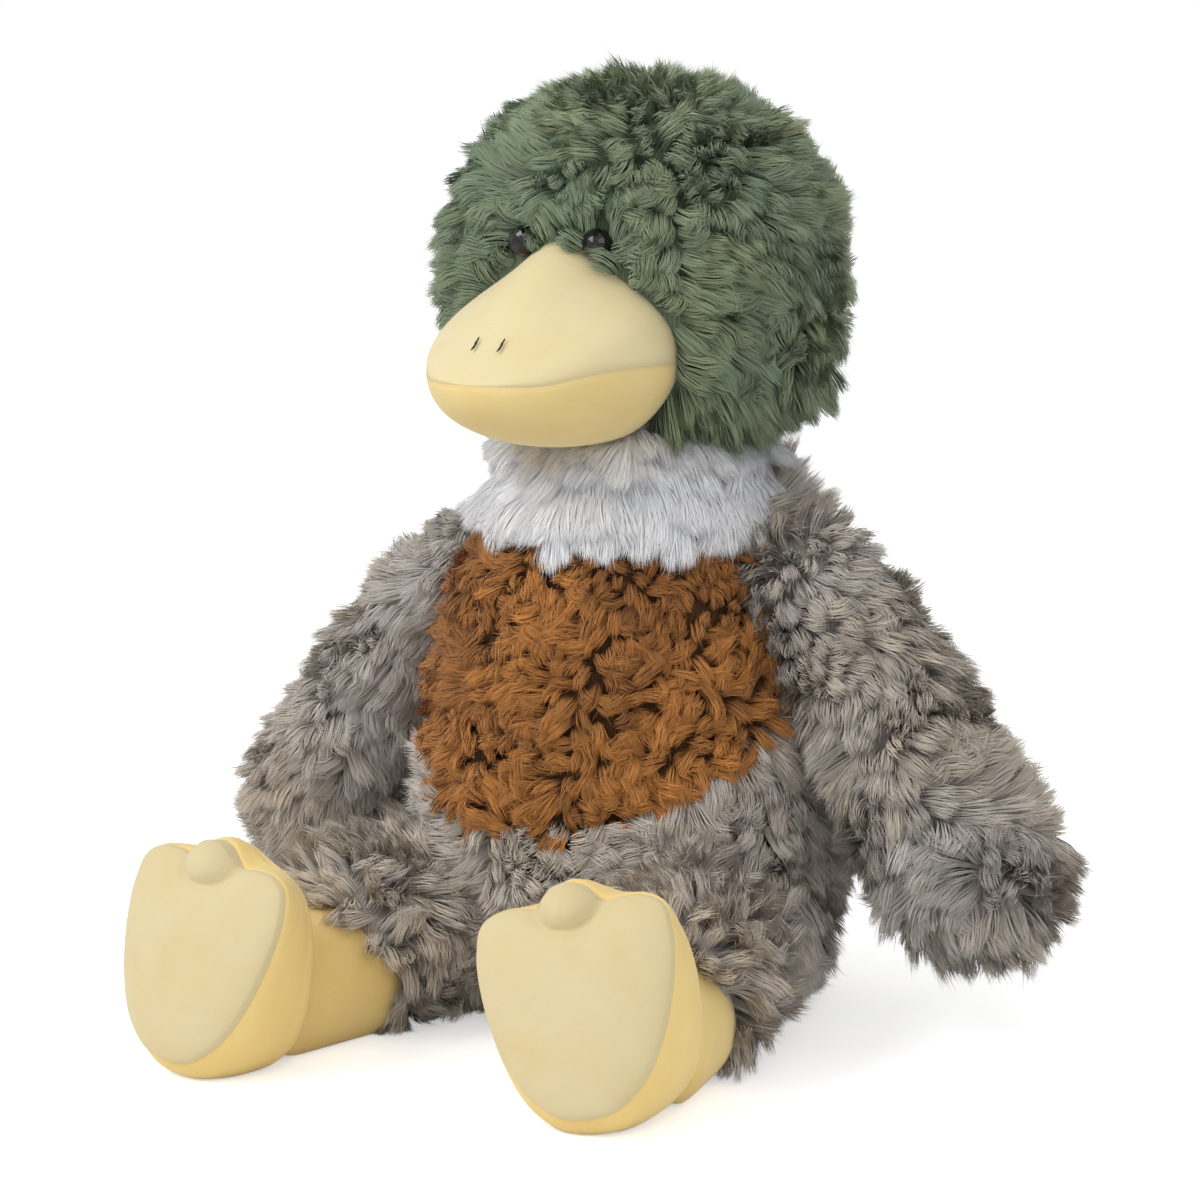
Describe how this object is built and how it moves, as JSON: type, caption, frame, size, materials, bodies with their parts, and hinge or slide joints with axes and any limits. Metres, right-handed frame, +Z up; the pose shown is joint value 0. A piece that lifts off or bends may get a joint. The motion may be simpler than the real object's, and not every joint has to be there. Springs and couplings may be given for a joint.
{
  "type": "plush duck",
  "caption": "Seated soft toy duck with long pile fabric, a sewn beak, a nodding and turning head, wings that lift and legs that bend at the hips.",
  "frame": {"origin": "on the ground, under the middle of the body's flat seat", "axes": "-Y the way the duck faces, +X to its left, +Z up"},
  "size_m": [0.3058, 0.2382, 0.31],
  "materials": {
    "green_pile": "long soft pile, grey green",
    "grey_pile": "long soft pile, grey with taupe tips",
    "brown_pile": "curly pile, rust brown",
    "white_pile": "straight smooth pile, white",
    "pale_nap": "short nap, pale yellow",
    "deep_nap": "short nap, deeper yellow",
    "fibre": "loose polyester stuffing",
    "black_thread": "black embroidery thread",
    "black_plastic": "polished black",
    "washer_plastic": "moulded, natural",
    "bag_cloth": "plain woven bag, filled with plastic pellets"
  },
  "bodies": {
    "body": {"body_cover": "grey_pile", "chest_panel": "brown_pile", "body_stuffing": "fibre", "pellet_bag": "bag_cloth"},
    "neck": {"neck_band": "white_pile", "neck_stuffing": "fibre"},
    "head": {"head_cover": "green_pile", "head_stuffing": "fibre", "beak_upper": "pale_nap", "beak_lower": "deep_nap", "beak_stuffing": "fibre", "nostril_stitch_left": "black_thread", "nostril_stitch_right": "black_thread", "eye_left": "black_plastic", "eye_right": "black_plastic", "eye_washer_left": "washer_plastic", "eye_washer_right": "washer_plastic"},
    "wing_left": {"wing_cover_left": "grey_pile", "wing_stuffing_left": "fibre"},
    "wing_right": {"wing_cover_right": "grey_pile", "wing_stuffing_right": "fibre"},
    "leg_left": {"leg_cover_left": "grey_pile", "leg_stuffing_left": "fibre", "foot_upper_left": "pale_nap", "foot_sole_left": "pale_nap", "foot_stuffing_left": "fibre"},
    "leg_right": {"leg_cover_right": "grey_pile", "leg_stuffing_right": "fibre", "foot_upper_right": "pale_nap", "foot_sole_right": "pale_nap", "foot_stuffing_right": "fibre"}
  },
  "joints": [
    {"name": "head_turn", "type": "hinge", "parent": "body", "child": "neck", "pos_m": [0, 0.002, 0.166], "axis": [0, 0, 1], "range_deg": [-30, 30]},
    {"name": "head_nod", "type": "hinge", "parent": "neck", "child": "head", "pos_m": [0, 0.009, 0.25], "axis": [1, 0, 0], "range_deg": [-15, 10]},
    {"name": "wing_lift_left", "type": "hinge", "parent": "body", "child": "wing_left", "pos_m": [0.067, 0.004, 0.145], "axis": [0, -1, 0], "range_deg": [0, 75]},
    {"name": "wing_lift_right", "type": "hinge", "parent": "body", "child": "wing_right", "pos_m": [-0.067, 0.004, 0.145], "axis": [0, 1, 0], "range_deg": [0, 75]},
    {"name": "leg_lift_left", "type": "hinge", "parent": "body", "child": "leg_left", "pos_m": [0.05, -0.047, 0.0315], "axis": [-0.9672, -0.2539, 0], "range_deg": [0, 35]},
    {"name": "leg_lift_right", "type": "hinge", "parent": "body", "child": "leg_right", "pos_m": [-0.05, -0.047, 0.0315], "axis": [-0.9672, 0.2539, 0], "range_deg": [0, 35]}
  ]
}
